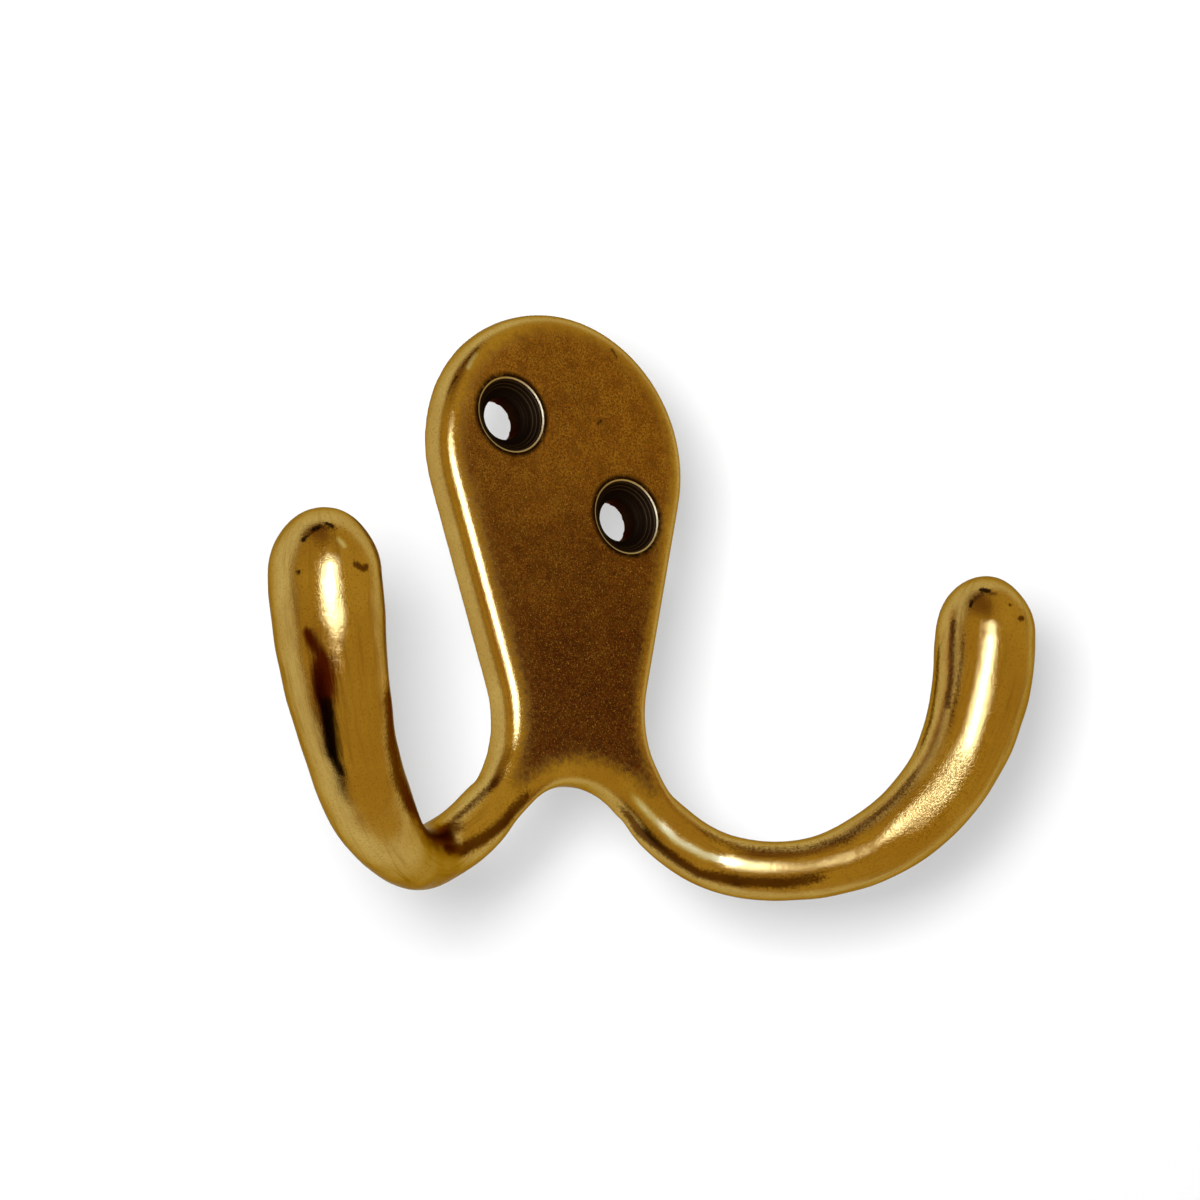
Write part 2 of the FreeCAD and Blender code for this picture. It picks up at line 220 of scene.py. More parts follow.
# Each mark: kind, strength, reach, and the places that its line passes
MARKS = [
    # the left arm's bend and its root: painted dark reflections, in bands along them
    ("brown", 0.80, 0.55, [(-7.6, -3.0, -26.8), (-9.9, -2.9, -28.9), (-12.7, -3.3, -30.9),
                           (-15.3, -4.6, -32.6), (-18.3, -7.8, -33.5)]),
    ("brown", 0.95, 1.0, [(-12.4, -3.6, -31.4), (-15.1, -4.6, -32.7), (-18.5, -8.0, -33.6),
                          (-22.1, -12.1, -33.1), (-25.1, -15.3, -32.3), (-26.9, -16.9, -30.8),
                          (-28.3, -18.4, -28.2), (-28.9, -19.3, -25.9),
                          (-29.6, -20.0, -23.6)]),
    ("brown", 0.90, 1.25, [(-13.6, -4.2, -32.6), (-16.0, -5.6, -33.4), (-20.0, -10.0, -33.4),
                          (-24.0, -14.2, -32.8)]),
    ("brown", 0.95, 0.75, [(-5.0, -3.2, -28.4), (-8.5, -3.4, -31.6), (-10.8, -3.9, -33.1),
                          (-13.4, -4.6, -34.2), (-17.9, -8.1, -34.7)]),
    # a painted reflection: the red streak down the left arm and its black foot
    ("red", 0.95, 1.15, [(-35.9, -20.2, -21.2), (-35.1, -20.3, -22.8), (-34.7, -19.6, -24.8),
                        (-34.1, -18.7, -26.9)]),
    ("red", 0.8, 0.65, [(-36.2, -20.1, -20.7), (-35.6, -20.3, -22.4)]),
    ("foot", 0.85, 0.8, [(-34.3, -19.2, -25.9), (-33.6, -18.3, -28.0), (-32.9, -17.5, -29.4)]),
    ("foot", 0.85, 0.5, [(-32.9, -17.5, -29.4), (-32.0, -16.9, -30.7)]),
    # the right arm: painted dark reflections below and above its bright crest and along its
    # inner side
    ("brown", 1.00, 0.65, [(4.0, -1.9, -29.1), (6.4, -1.5, -31.5), (8.8, -2.4, -33.6),
                           (11.7, -2.8, -35.2), (14.7, -4.7, -36.1), (17.9, -7.4, -36.5),
                           (20.9, -10.2, -36.0)]),
    ("brown", 0.60, 0.7, [(10.5, -3.7, -30.9), (14.1, -4.5, -32.9), (17.0, -6.6, -33.6),
                          (21.6, -11.3, -33.1), (25.1, -14.6, -29.6), (26.9, -16.1, -26.6)]),
    ("brown", 0.75, 0.5, [(29.1, -17.1, -15.5), (28.8, -16.4, -18.7), (28.0, -16.1, -22.9),
                          (26.8, -14.9, -26.6)]),
    ("brown", 0.75, 0.5, [(29.1, -18.7, -14.9), (28.8, -18.5, -17.7), (28.3, -18.1, -22.2)]),
    ("brown", 0.60, 0.35, [(29.5, -19.8, -14.8), (29.1, -19.5, -18.1), (28.6, -18.8, -22.2),
                          (27.9, -18.0, -25.4)]),
    # a painted highlight along the right leg's crest
    ("painted_highlight", 1.0, 0.44, [(4.5, -3.1, -28.4), (6.8, -3.2, -30.6), (9.1, -3.4, -32.6),
                          (11.6, -4.0, -33.9), (14.7, -5.4, -34.8)]),
    # a rougher, sandy patch in the right bend
    ("dull", 1.0, 2.2, [(26.0, -16.0, -32.1), (27.1, -17.2, -30.5), (28.7, -18.8, -27.8)]),
    # pits at the left tip
    ("black", 0.9, 0.28, [(-36.6, -20.4, -13.6), (-36.4, -20.5, -13.4)]),
    ("black", 0.9, 0.28, [(-35.8, -20.8, -12.8), (-35.5, -20.9, -12.6)]),
    ("black", 0.9, 0.28, [(-34.9, -21.1, -12.3), (-34.6, -21.3, -12.5)]),
    ("brown", 0.65, 0.5, [(-36.4, -20.5, -13.2), (-35.5, -20.9, -12.6), (-34.5, -21.4, -12.7)]),
    ("black", 0.8, 0.3, [(-37.0, -20.3, -16.1)]),
    ("brown", 1.0, 0.32, [(-33.2, -22.3, -15.6), (-32.6, -22.2, -15.9), (-32.2, -22.2, -15.7)]),
    # a painted glint on the left tip
    ("painted_highlight", 0.9, 0.25, [(-34.4, -22.0, -13.6), (-34.0, -22.1, -14.2)]),
    # pits at the right tip
    ("black", 1.0, 0.30, [(31.2, -20.4, -12.1), (31.6, -20.8, -12.3)]),
    ("brown", 0.65, 0.45, [(30.1, -20.1, -13.3), (31.3, -20.6, -12.3), (31.9, -21.2, -12.6)]),
    ("black", 0.8, 0.22, [(30.2, -20.1, -13.2), (30.0, -20.1, -13.7)]),
    ("brown", 1.0, 0.3, [(33.7, -22.3, -14.9), (34.1, -22.2, -14.8)]),
    ("brown", 0.9, 0.25, [(32.9, -22.0, -13.7)]),
    # the plate's head: a fold along its upper left rim, and pits
    ("black", 1.0, 0.21, [(-7.6, -2.8, 11.0), (-8.3, -2.9, 10.4), (-8.7, -3.0, 9.8),
                          (-9.9, -2.9, 8.6), (-10.3, -2.9, 7.9), (-10.8, -2.8, 7.2)]),
    ("black", 0.9, 0.19, [(-10.9, -2.8, 7.0), (-11.6, -2.7, 6.0), (-12.0, -2.6, 5.1)]),
    # a painted highlight beside the fold
    ("painted_highlight", 0.9, 0.26, [(-9.0, -3.1, 9.2), (-9.5, -3.1, 8.5), (-9.9, -3.1, 7.8)]),
    # pits on the face
    ("black", 0.8, 0.2, [(5.2, -3.3, 11.2), (5.7, -3.3, 10.6)]),
    ("black", 0.7, 0.2, [(3.2, -3.3, 4.1), (3.6, -3.3, 4.5)]),
]

# marks through more places than this fade towards their ends
LONG_MARK, FADE = 3, (-0.8, 2.2)


def from_line(points, line):
    """Each point's distance from a line, and the length along it to its nearer end."""
    line = np.array(line)
    distance = np.linalg.norm(points - line[0], axis=1)
    way = np.zeros(len(points))
    gone = 0.0
    for first, last in zip(line, line[1:]):
        along = last - first
        length = np.linalg.norm(along)
        share = np.clip((points - first) @ along / length ** 2, 0, 1)
        away = np.linalg.norm(points - first - share[:, None] * along, axis=1)
        way = np.where(away < distance, gone + share * length, way)
        distance = np.minimum(distance, away)
        gone += length
    return distance, np.minimum(way, gone - way)


def marked(points, kind):
    """How strongly the marks of one kind cover each point."""
    cover = np.zeros(len(points))
    for which, strength, reach, line in MARKS:
        if which == kind:
            distance, way = from_line(points, line)
            spread = strength * np.exp(-(distance / reach) ** 2)
            if len(line) > LONG_MARK:
                spread = spread * ramp(way, *FADE)
            cover = np.maximum(cover, spread)
    return cover


def uneven(points, normals):
    """Slight hollows and rises, as left by hand finishing."""
    waves = [(0.9, 0.4, 1.1, 0.3), (-0.6, 1.2, 0.8, 1.9), (1.4, -0.7, -0.5, 4.1),
             (0.3, 1.0, -1.5, 2.6), (-1.7, 0.2, 0.9, 5.2), (1.1, 1.3, 1.2, 0.9)]
    height = sum(np.sin(points @ np.array(wave[:3]) + wave[3]) for wave in waves)
    # the arms alone, where they stand clear of the plate
    arms = ramp(-points[:, 1], 3.6, 5.0)
    return points + normals * (HOLLOW * height * arms)[:, None]


# Screw holes

def hole_radius(points):
    """Each point's distance from the axis of the nearer hole."""
    distances = [np.hypot(points[:, 0] - side * HOLE_ACROSS, points[:, 2] + side * HOLE_UP)
                 for side in (-1, 1)]
    return np.minimum(*distances)


def sink_depth(radius):
    """The countersink's turned surface, as a depth below the front face."""
    depth = np.clip(SINK_RADIUS - radius, 0, None)
    soft = np.where(np.abs(radius - SINK_RADIUS) < SOFT_EDGE,
                    (SINK_RADIUS + SOFT_EDGE - radius) ** 2 / (4 * SOFT_EDGE), depth)
    rings = RING_HEIGHT * np.cos(2 * math.pi * radius / RING_PITCH)
    step = STEP_DEPTH * ramp(-radius, -2.45, -2.35)
    inside = ramp(-radius, -SINK_RADIUS, -SINK_RADIUS + 0.2)
    return soft + inside * (rings + step)


def finer_near_holes(mesh):
    """Divide the faces in and round the screw holes twice."""
    work = bmesh.new()
    work.from_mesh(mesh)
    for reach in (FINER_REACH, TURNED_REACH):
        near = []
        for edge in work.edges:
            middle = (edge.verts[0].co + edge.verts[1].co) / 2
            side = 1 if middle.x > 0 else -1
            radius = math.hypot(middle.x - side * HOLE_ACROSS, middle.z + side * HOLE_UP)
            if radius < reach and middle.y < FINER_BEFORE:
                near.append(edge)
        bmesh.ops.subdivide_edges(work, edges=near, cuts=1, use_grid_fill=True)
    bmesh.ops.triangulate(work, faces=[face for face in work.faces if len(face.verts) > 4])
    work.to_mesh(mesh)
    work.free()


def plate_face(points, normals):
    """1 on the plate's flat front, holes included, and 0 elsewhere."""
    flat = ramp(-normals[:, 1], 0.96, 0.995)
    inside = np.where((hole_radius(points) < 4.0) & (points[:, 1] < -0.3), 1.0, flat)
    fork = np.hypot(points[:, 0], points[:, 2] - CROTCH_LEVEL)
    plate = ramp(points[:, 2], -30.2, -28.2) * ramp(points[:, 1], -4.6, -4.0)
    return inside * plate * ramp(fork, 7.3, 9.6)


def turn_holes(points):
    """Lay the points in and round the holes on the turned surfaces."""
    radius = hole_radius(points)
    side = np.where(points[:, 0] > 0, 1.0, -1.0)
    centre = np.stack([side * HOLE_ACROSS, points[:, 1], -side * HOLE_UP], axis=1)
    shoulder = -PLATE_THICK + (SINK_RADIUS - HOLE_RADIUS)
    bore = (radius < HOLE_RADIUS + 0.35) & (points[:, 1] > shoulder) & (points[:, 1] < -0.12)
    outward = (points - centre) / np.maximum(radius, 1e-6)[:, None]
    points = np.where(bore[:, None], centre + outward * HOLE_RADIUS, points)
    cone = ((radius < TURNED_REACH) & (radius > HOLE_RADIUS + 0.02)
            & (points[:, 1] < shoulder))
    points[:, 1] = np.where(cone, -PLATE_THICK + sink_depth(radius), points[:, 1])
    return points


def fork_share(points):
    """1 where the arms leave the plate, whose creases are soft in the casting."""
    return (ramp(points[:, 2], -35.5, -33.5) * ramp(-points[:, 2], 26.5, 28.5)
            * ramp(-np.abs(points[:, 0]), -11.5, -9.5) * ramp(-points[:, 1], 0.4, 1.2))


def back_share(points):
    """1 at the wall side, away from the holes."""
    return ramp(points[:, 1], -0.75, -0.45) * ramp(hole_radius(points), 2.6, 2.9)


def rim_share(points):
    """1 on the plate's front, whose rim is rounder than a plain fillet."""
    return (ramp(-points[:, 1], 1.0, 1.7) * ramp(hole_radius(points), 4.2, 4.6)
            * ramp(points[:, 2], -26.5, -24.5) * ramp(points[:, 1], -4.2, -3.8))


# what is softened, in this order, and over how many turns
SOFTENED = ((fork_share, 25), (back_share, 14), (rim_share, 45))


def set_field(mesh, name, values):
    """Keep a number for each point of a mesh, for its material to read."""
    field = mesh.attributes.new(name, "FLOAT", "POINT")
    field.data.foreach_set("value", values.astype(np.float32))


def fields_of(points):
    """What the material reads at each point, apart from the plate's face."""
    run, turn, distance = along_arm(points)
    radius = hole_radius(points)
    return {
        "run": run,
        "turn": turn,
        "arm": ramp(run, -0.02, 0.06) * ramp(-distance, -6.5, -5.0),
        "hole": radius,
        **{kind: marked(points, kind) for kind in MARK_KINDS},
        "sunk": (ramp(-radius, -SINK_RADIUS - 0.02, -SINK_RADIUS + 0.12)
                 * ramp(-np.abs(points[:, 1]), -3.5, -3.4) * ramp(-points[:, 1], 0.02, 0.10)),
    }


def make_hook():
    """The casting's visible surface: fine, softened, with turned countersinks."""
    mesh = even_mesh(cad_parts["hook_casting"].data, VOXEL)
    edges = edges_of(mesh)
    points = points_of(mesh)
    everywhere = np.ones(len(points))
    points = relaxed(points, edges, everywhere, SMOOTHING)
    for share, turns in SOFTENED:
        points = relaxed(points, edges, share(points), [SOFTENING] * turns)
    set_points(mesh, points)
    points = uneven(points, normals_of(mesh))
    set_points(mesh, points)
    face = plate_face(points, normals_of(mesh))
    face = relaxed(face[:, None], edges, everywhere, [FACE_SPREAD] * FACE_TURNS)[:, 0]
    set_field(mesh, "plate_face", face)
    finer_near_holes(mesh)
    points = turn_holes(points_of(mesh))
    # the back lies flat on the wall
    flat = ramp(-np.abs(points[:, 1]), -0.06, -0.03)
    points[:, 1] *= 1 - flat
    set_points(mesh, points)
    fields = fields_of(points)
    mesh.transform(Matrix.Scale(MM, 4))
    for name, values in fields.items():
        set_field(mesh, name, values)
    mesh.polygons.foreach_set("use_smooth", [True] * len(mesh.polygons))
    mesh.update()
    return new_object("hook", mesh)


# Materials

class Shader:
    """Short ways to wire one material's nodes."""

    def __init__(self, name):
        self.material = bpy.data.materials.new(name)
        self.material.use_nodes = True
        self.nodes = self.material.node_tree.nodes
        self.links = self.material.node_tree.links
        self.surface = self.nodes["Principled BSDF"]

    def put(self, kind, inputs=(), **settings):
        node = self.nodes.new(kind)
        for name, value in settings.items():
            setattr(node, name, value)
        for name, value in dict(inputs).items():
            self.feed(node.inputs[name], value)
        return node

    def feed(self, socket, value):
        if isinstance(value, bpy.types.NodeSocket):
            self.links.new(value, socket)
        elif value is not None:
            socket.default_value = value

    def field(self, name):
        return self.put("ShaderNodeAttribute", attribute_name=name).outputs["Fac"]

    def place(self):
        return self.put("ShaderNodeTexCoord").outputs["Object"]

    def noise(self, scale, detail, roughness, vector=None):
        inputs = {"Vector": vector or self.place(), "Scale": scale, "Detail": detail,
                  "Roughness": roughness}
        return self.put("ShaderNodeTexNoise", inputs).outputs["Fac"]

    def math(self, operation, first, second=None):
        node = self.put("ShaderNodeMath", operation=operation)
        self.feed(node.inputs[0], first)
        self.feed(node.inputs[1], second)
        return node.outputs[0]

    def plus(self, first, second):
        return self.math("ADD", first, second)

    def times(self, first, second):
        return self.math("MULTIPLY", first, second)

    def most(self, first, second):
        return self.math("MAXIMUM", first, second)

    def span(self, value, low, high, to_low=0.0, to_high=1.0):
        inputs = {"Value": value, "From Min": low, "From Max": high,
                  "To Min": to_low, "To Max": to_high}
        node = self.put("ShaderNodeMapRange", inputs, interpolation_type="SMOOTHSTEP")
        return node.outputs["Result"]

    def mix(self, share, first, second):
        node = self.put("ShaderNodeMix", data_type="RGBA")
        self.feed(node.inputs["Factor"], share)
        for socket, value in ((node.inputs[6], first), (node.inputs[7], second)):
            if isinstance(value, tuple):
                value = (*value, 1.0)
            self.feed(socket, value)
        return node.outputs[2]


# Colours, in linear light

DEEP_BRASS, PALE_BRASS, MOTTLE = (0.66, 0.405, 0.135), (0.79, 0.53, 0.20), (0.40, 0.20, 0.055)
FOOT_BROWN, HEAD_BROWN = (0.215, 0.076, 0.018), (0.60, 0.300, 0.045)
FOOT_RUDDY, HEAD_RUDDY = (0.225, 0.066, 0.018), (0.58, 0.250, 0.036)
FOOT_DARK, HEAD_DARK = (0.085, 0.026, 0.010), (0.27, 0.115, 0.020)
FLECK, HALO = (0.74, 0.46, 0.13), (0.025, 0.010, 0.004)
# below: tarnish and painted dark reflections, pits, and the cream of painted highlights; then a
# painted red reflection and its painted dark foot
TARNISH_AND_DARK_REFLECTION, PIT, PAINTED_HIGHLIGHT = (0.135, 0.045, 0.009), (0.045, 0.022, 0.010), (1.0, 0.92, 0.66)
PAINTED_RED_REFLECTION, PAINTED_REFLECTION_FOOT = (0.155, 0.026, 0.008), (0.030, 0.014, 0.008)
SINK, RING, LIP = (0.020, 0.011, 0.006), (0.13, 0.080, 0.045), (0.74, 0.58, 0.38)
EDGE_TINT = (0.5, 0.33, 0.17, 1)

# Noise by its scale, detail and roughness, coarse to fine
NOISES = {
    "broad": (130.0, 4.0, 0.6),
    "patch": (700.0, 4.0, 0.6),
    "fine": (2600.0, 4.0, 0.65),
    "speck": (5200.0, 3.0, 0.7),
    "grain": (9000.0, 2.0, 0.7),
}

BARE_ROUGHNESS, FACE_ROUGHNESS = 0.10, 0.42
# how much rougher each kind of place is
ROUGHER = {"painted_highlight": 0.30, "brown": 0.08, "dull": 0.04, "sunk": 0.22}
BUMP_STRENGTH, BUMP_DISTANCE = 0.5, 0.00007


def filing_lines(made):
    """Faint lines along the arms, as a file leaves them."""
    angle = made.times(made.field("turn"), 2 * math.pi)
    along = made.put("ShaderNodeCombineXYZ", {
        "X": made.times(made.field("run"), 5.0),
        "Y": made.times(made.math("COSINE", angle), 4.0),
        "Z": made.times(made.math("SINE", angle), 4.0)}).outputs[0]
    return made.noise(1.3, 5.0, 0.7, vector=along)


def bare_brass(made, noise, lines):
    """Brass with its lines and mottling, sandy where it is dull."""
    brass = made.mix(made.span(noise["broad"], 0.3, 0.7), DEEP_BRASS, PALE_BRASS)
    lined = made.times(made.span(lines, 0.48, 0.72, 0.0, 0.6), made.field("arm"))
    mottled = made.most(lined, made.span(noise["patch"], 0.54, 0.80, 0.0, 0.28))
    mottled = made.most(mottled, made.span(noise["speck"], 0.50, 0.70, 0.0, 0.50))
    sandy = made.times(made.field("dull"), made.span(noise["speck"], 0.45, 0.62, 0.0, 0.75))
    return made.mix(made.most(mottled, sandy), brass, MOTTLE)


def face_brown(made, noise):
    """The plate's face: browner towards its foot, with a fine speckle and soft clouds."""
    level = made.put("ShaderNodeSeparateXYZ", {"Vector": made.place()}).outputs["Z"]
    cloud = made.plus(level, made.span(noise["broad"], 0.2, 0.8, -0.008, 0.008))
    height = made.span(cloud, -0.022, 0.016)
    brown = made.mix(height, FOOT_BROWN, HEAD_BROWN)
    ruddy = made.mix(height, FOOT_RUDDY, HEAD_RUDDY)
    dark = made.mix(height, FOOT_DARK, HEAD_DARK)
    brown = made.mix(made.span(noise["patch"], 0.35, 0.6), brown, ruddy)
    brown = made.mix(made.span(noise["speck"], 0.40, 0.60), dark, brown)
    brown = made.mix(made.span(noise["patch"], 0.46, 0.68, 0.0, 0.62), brown, dark)
    brown = made.mix(made.span(noise["grain"], 0.58, 0.70, 0.0, 0.9), brown, FLECK)
    # tarnish round the countersinks
    halo = made.times(made.span(made.field("hole"), 3.5, 4.0, 1.0, 0.0),
                      made.span(noise["fine"], 0.25, 0.5, 0.5, 1.0))
    return made.mix(halo, brown, HALO)


def with_marks(made, colour, noise, lines):
    """Tarnish, pits, painted dark and red reflections and painted highlights over a colour,
    with grainy or streaky edges.
    """
    grainy = made.plus(made.span(noise["fine"], 0.3, 0.7, -0.08, 0.08),
                       made.span(noise["speck"], 0.3, 0.7, -0.10, 0.10))
    streaky = made.span(lines, 0.35, 0.65, -0.16, 0.16)
    # brown marks are tarnish and painted dark reflections, red ones and their foot a painted
    # reflection, black ones pits
    for kind, edge, low, high, share, paint in (
            ("brown", grainy, 0.22, 0.85, 0.92, TARNISH_AND_DARK_REFLECTION),
            ("red", streaky, 0.25, 0.80, 1.0, PAINTED_RED_REFLECTION),
            ("foot", streaky, 0.25, 0.85, 1.0, PAINTED_REFLECTION_FOOT),
            ("black", grainy, 0.25, 0.80, 1.0, PIT)):
        cover = made.plus(made.field(kind), edge)
        colour = made.mix(made.span(cover, low, high, 0.0, share), colour, paint)
    # last, the painted highlights in a pale cream
    return made.mix(made.span(made.field("painted_highlight"), 0.1, 0.9, 0.0, 0.9), colour, PAINTED_HIGHLIGHT)


def with_holes(made, colour, face):
    """The countersinks over a colour: dark, with turned rings and a bright lip."""
    radius, sunk = made.field("hole"), made.field("sunk")
    colour = made.mix(sunk, colour, SINK)
    ring = made.math("COSINE", made.times(radius, 2 * math.pi / RING_PITCH))
    ring = made.times(made.span(ring, 0.55, 0.95), made.span(radius, 2.4, 2.5, 0.0, 0.6))
    colour = made.mix(made.times(ring, sunk), colour, RING)
    lip = made.times(made.span(radius, 3.20, 3.27), made.span(radius, 3.33, 3.40, 1.0, 0.0))
    return made.mix(made.times(lip, face), colour, LIP)


def antique_brass():
    """Brass, darkened in the hollows and on the face, rubbed bright on the rounds, with painted
    dark reflections and painted highlights.
    """
    made = Shader("antique_brass")
    noise = {name: made.noise(*settings) for name, settings in NOISES.items()}
    lines = filing_lines(made)
    face = made.field("plate_face")
    worn = made.plus(face, made.span(noise["fine"], 0.3, 0.7, -0.12, 0.12))
    worn = made.span(worn, 0.25, 1.0)
    colour = made.mix(worn, bare_brass(made, noise, lines), face_brown(made, noise))
    colour = with_marks(made, colour, noise, lines)
    made.feed(made.surface.inputs["Base Color"], with_holes(made, colour, face))

    rough = made.span(worn, 0.0, 1.0, BARE_ROUGHNESS, FACE_ROUGHNESS)
    for kind, more in ROUGHER.items():
        rough = made.plus(rough, made.times(made.field(kind), more))
    rough = made.plus(rough, made.span(noise["fine"], 0.3, 0.8, -0.03, 0.06))
    made.feed(made.surface.inputs["Roughness"], rough)
    made.surface.inputs["Metallic"].default_value = 1.0
    made.surface.inputs["Specular Tint"].default_value = EDGE_TINT

    sandy = made.times(made.times(made.field("dull"), 1.7), noise["speck"])
    height = made.plus(made.times(noise["fine"], 0.35), made.times(noise["grain"], 0.5))
    bump = made.put("ShaderNodeBump", {"Height": made.plus(height, sandy),
                                       "Strength": BUMP_STRENGTH, "Distance": BUMP_DISTANCE})
    made.feed(made.surface.inputs["Normal"], bump.outputs["Normal"])
    return made.material


def pale_backdrop():
    """A plain pale surface, seen from its front alone."""
    made = Shader("pale_backdrop")
    made.surface.inputs["Base Color"].default_value = SHEET_COLOUR
    made.surface.inputs["Roughness"].default_value = 0.9
    made.surface.inputs["Specular IOR Level"].default_value = 0.0
    side = made.put("ShaderNodeNewGeometry").outputs["Backfacing"]
    clear = made.put("ShaderNodeBsdfTransparent")
    either = made.put("ShaderNodeMixShader")
    made.links.new(side, either.inputs[0])
    made.links.new(made.surface.outputs[0], either.inputs[1])
    made.links.new(clear.outputs[0], either.inputs[2])
    made.links.new(either.outputs[0], made.nodes["Material Output"].inputs["Surface"])
    return made.material


# Camera, as the photograph was taken

CAMERA_AZIMUTH, CAMERA_ELEVATION, CAMERA_ROLL = map(math.radians, (34.912, -11.937, 3.03))
CAMERA_DISTANCE, CAMERA_LENS = 0.28992, 98.879
CAMERA_TARGET = Vector((0.004756, 0.0, -0.01091))


def camera_axes():
    """The camera's right, up and back directions."""
    back = Vector((-math.sin(CAMERA_AZIMUTH) * math.cos(CAMERA_ELEVATION),
                   -math.cos(CAMERA_AZIMUTH) * math.cos(CAMERA_ELEVATION),
                   math.sin(CAMERA_ELEVATION)))
    right = (-back).cross(Vector((0, 0, 1))).normalized()
    up = right.cross(-back)
    roll_cos, roll_sin = math.cos(CAMERA_ROLL), math.sin(CAMERA_ROLL)
    return roll_cos * right - roll_sin * up, roll_sin * right + roll_cos * up, back


RIGHT, UP, BACK = camera_axes()
CAMERA_TURN = Matrix((RIGHT, UP, BACK)).transposed().to_4x4()


def from_camera(across, up, back):
    """A point given in the camera's axes from the camera's target, in metres."""
    return CAMERA_TARGET + RIGHT * across + UP * up + BACK * back


def make_camera():
    data = bpy.data.cameras.new("camera")
    data.sensor_width = 36.0
    data.lens = CAMERA_LENS
    data.clip_start, data.clip_end = 0.01, 20.0
    camera = new_object("camera", data)
    camera.matrix_world = Matrix.Translation(from_camera(0, 0, CAMERA_DISTANCE)) @ CAMERA_TURN
    bpy.context.scene.camera = camera


# Stage and light

ROOM_RADIUS, SHEET_HALF, SHEET_BEHIND = 0.6, 2.0, 0.1
SHEET_COLOUR, SKY_STRENGTH = (0.9, 0.9, 0.9, 1), 0.36
# the window's direction and distance, its width and height, and its light
WINDOW_PLACE, WINDOW_SIZE, WINDOW_LIGHT = (9, 12.5, 0.34), (0.14, 0.18), (6.3, 8.5, 11.8)
# the sheet's broad light and the small one that drops the shadow, in the camera's axes
FILL_PLACE, FILL_SIZE, FILL_RADIANCE = (-0.2, 0.3, 1.2), 1.6, 1.05
DROP_PLACE, DROP_SIZE, DROP_RADIANCE = (-0.011, 0.0105, 0.29), 0.022, 530.0
WARM_ROOM, PALE_PAPER = (0.43, 0.315, 0.058), (0.64, 0.65, 0.44)
BROWN_CEILING = (0.17, 0.09, 0.02)
RED_BAND, DARK_FOOT = (0.10, 0.02, 0.006), (0.03, 0.011, 0.005)


def toward(longitude, latitude, distance):
    """A point in a direction from the hook: 0, 0 is the camera's, +90, 0 its right."""
    lon, lat = math.radians(longitude), math.radians(latitude)
    return from_camera(distance * math.sin(lon) * math.cos(lat), distance * math.sin(lat),
                       distance * math.cos(lon) * math.cos(lat))


def aim(thing, place):
    """Put a thing at a place, its front to the hook."""
    back = (place - CAMERA_TARGET).normalized()
    right = UP.cross(back).normalized()
    turned = Matrix((right, back.cross(right), back)).transposed().to_4x4()
    thing.matrix_world = Matrix.Translation(place) @ turned


def soft_box(name, place, width, height, radiance, colour=(1, 1, 1), glossy=True,
             shape="RECTANGLE"):
    """A flat light of a given brightness, unseen by the camera."""
    data = bpy.data.lights.new(name, "AREA")
    data.shape = shape
    data.size, data.size_y = width, height
    area = width * height * (math.pi / 4 if shape == "ELLIPSE" else 1)
    data.energy = radiance * math.pi * area
    data.color = colour
    light = new_object(name, data)
    aim(light, place)
    light.visible_camera = False
    light.visible_glossy = glossy
    return light


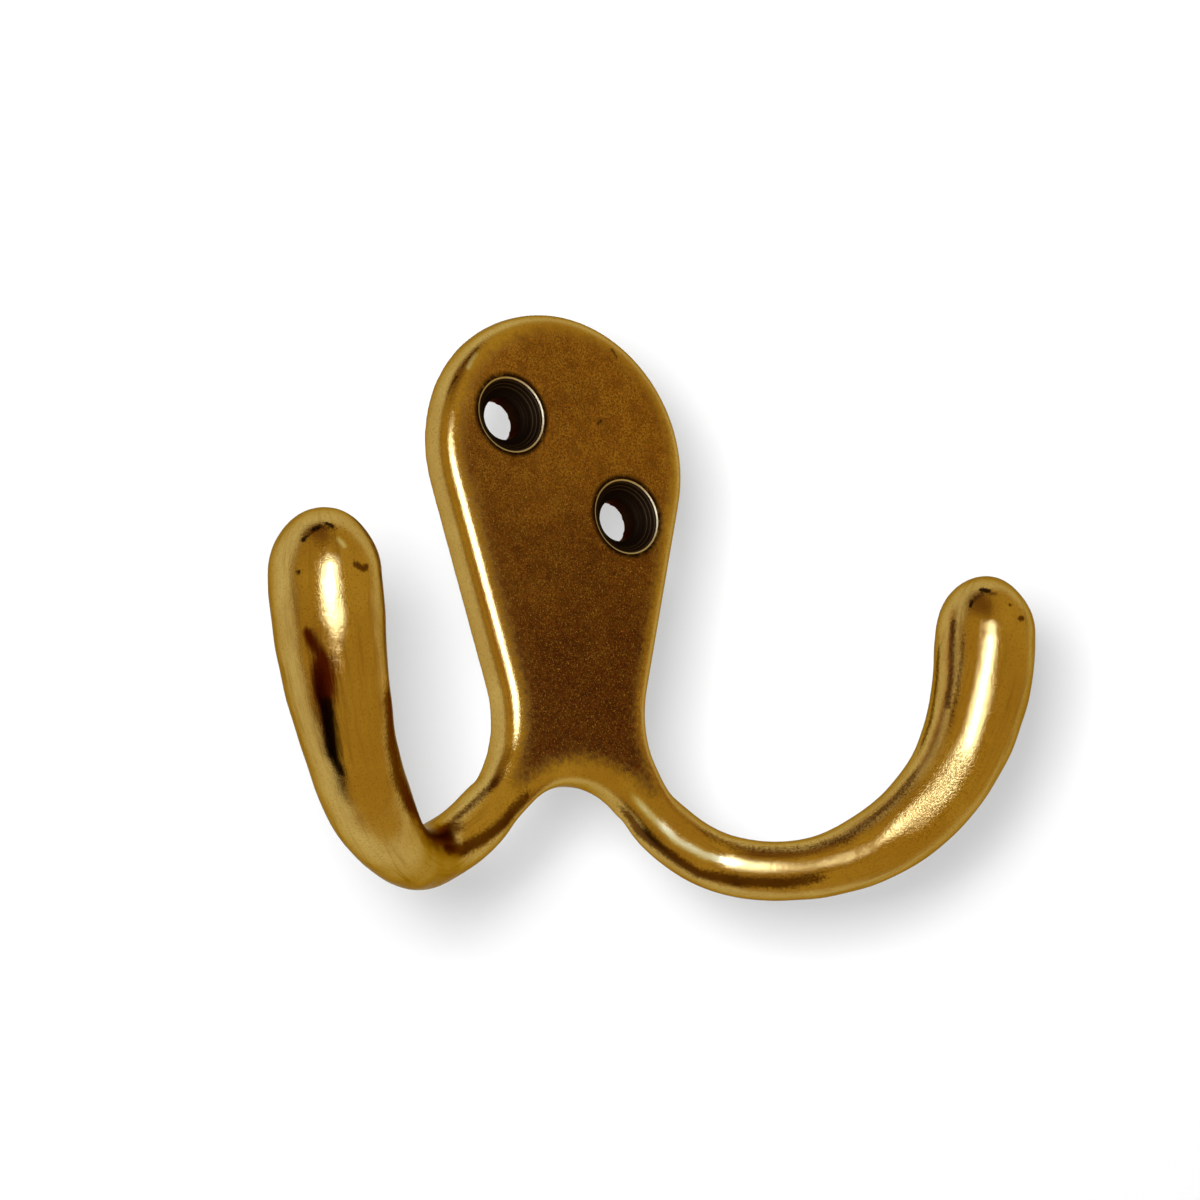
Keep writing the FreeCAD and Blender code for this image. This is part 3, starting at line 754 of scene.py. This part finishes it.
def room_paint():
    """What the metal mirrors: a warm room in front, pale paper behind the hook.

    The ball's own axes are x to the right, y up and z to the front.
    """
    made = Shader("room_paint")
    way = made.put("ShaderNodeVectorMath", {0: made.place()}, operation="NORMALIZE").outputs[0]
    across, up, ahead = made.put("ShaderNodeSeparateXYZ", {"Vector": way}).outputs
    lon = made.times(made.math("ARCTAN2", across, ahead), 180 / math.pi)
    lat = made.times(made.math("ARCSINE", up), 180 / math.pi)
    wander = made.span(made.noise(2.2, 3.0, 0.5, vector=way), 0.3, 0.7, -1.0, 1.0)

    # pale paper past the sides, further round on the right, with a dark edge on the left
    side = made.plus(ahead, made.times(across, 0.42))
    side = made.plus(side, made.times(wander, 0.03))
    edge = made.times(made.span(side, 0.02, 0.06), made.span(side, 0.30, 0.12))
    edge = made.times(edge, made.span(across, 0.1, -0.3, 0.0, 0.75))
    colour = made.mix(edge, WARM_ROOM, BROWN_CEILING)
    colour = made.mix(made.span(side, 0.06, -0.02), colour, PALE_PAPER)

    # a brown ceiling, upper left to the middle
    high = made.span(made.plus(lat, made.times(wander, 7.0)), 40.0, 62.0)
    part = made.times(made.span(lon, -100.0, -70.0), made.span(lon, 10.0, 45.0, 1.0, 0.0))
    colour = made.mix(made.times(high, part), colour, BROWN_CEILING)

    # a dark red band below, leaning down to the left and darkest at its foot
    along = made.plus(lon, made.times(made.plus(lat, 18.0), -0.62))
    along = made.plus(along, made.times(wander, 6.0))
    band = made.times(made.span(along, -47.0, -38.0), made.span(along, -14.0, 2.0, 1.0, 0.0))
    low = made.times(made.span(lat, -12.0, -18.0), made.span(lat, -70.0, -58.0))
    deep = made.mix(made.span(lat, -26.0, -42.0), RED_BAND, DARK_FOOT)
    colour = made.mix(made.times(band, low), colour, deep)
    glow = made.put("ShaderNodeEmission", {"Color": colour, "Strength": 1.0})
    made.links.new(glow.outputs[0], made.nodes["Material Output"].inputs["Surface"])
    return made.material


def make_room():
    """A ball round the hook that the metal mirrors and nothing else sees."""
    mesh = bpy.data.meshes.new("room")
    work = bmesh.new()
    bmesh.ops.create_uvsphere(work, u_segments=48, v_segments=24, radius=ROOM_RADIUS)
    work.to_mesh(mesh)
    work.free()
    mesh.materials.append(room_paint())
    room = new_object("room", mesh)
    room.matrix_world = Matrix.Translation(CAMERA_TARGET) @ CAMERA_TURN
    room.visible_camera = room.visible_diffuse = room.visible_shadow = False
    room.visible_transmission = room.visible_volume_scatter = False


def make_backdrop():
    """A pale sheet behind the hook, square to the camera."""
    mesh = bpy.data.meshes.new("backdrop")
    corners = [from_camera(x * SHEET_HALF, y * SHEET_HALF, -SHEET_BEHIND)
               for x, y in ((-1, -1), (1, -1), (1, 1), (-1, 1))]
    mesh.from_pydata(corners, [], [(0, 1, 2, 3)])
    mesh.materials.append(pale_backdrop())
    sheet = new_object("backdrop", mesh)
    sheet.visible_glossy = False


def make_light():
    world = bpy.data.worlds.new("studio")
    world.use_nodes = True
    sky = world.node_tree.nodes["Background"]
    sky.inputs["Color"].default_value = (1, 1, 1, 1)
    sky.inputs["Strength"].default_value = SKY_STRENGTH
    bpy.context.scene.world = world
    # the window that the metal mirrors, cool beside the warm room
    window = soft_box("window", toward(*WINDOW_PLACE), *WINDOW_SIZE, 1.0, WINDOW_LIGHT,
                      shape="ELLIPSE")
    window.visible_diffuse = False
    # the sheet's own light, which the metal doesn't mirror
    soft_box("fill", from_camera(*FILL_PLACE), FILL_SIZE, FILL_SIZE, FILL_RADIANCE,
             glossy=False)
    soft_box("drop", from_camera(*DROP_PLACE), DROP_SIZE, DROP_SIZE, DROP_RADIANCE,
             glossy=False)


# Assembly

hook = make_hook()
hook.data.materials.clear()
hook.data.materials.append(antique_brass())
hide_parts("hook_casting")
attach(hook, "root")
make_backdrop()
make_room()
make_camera()
make_light()
bpy.context.scene.view_settings.view_transform = "Standard"
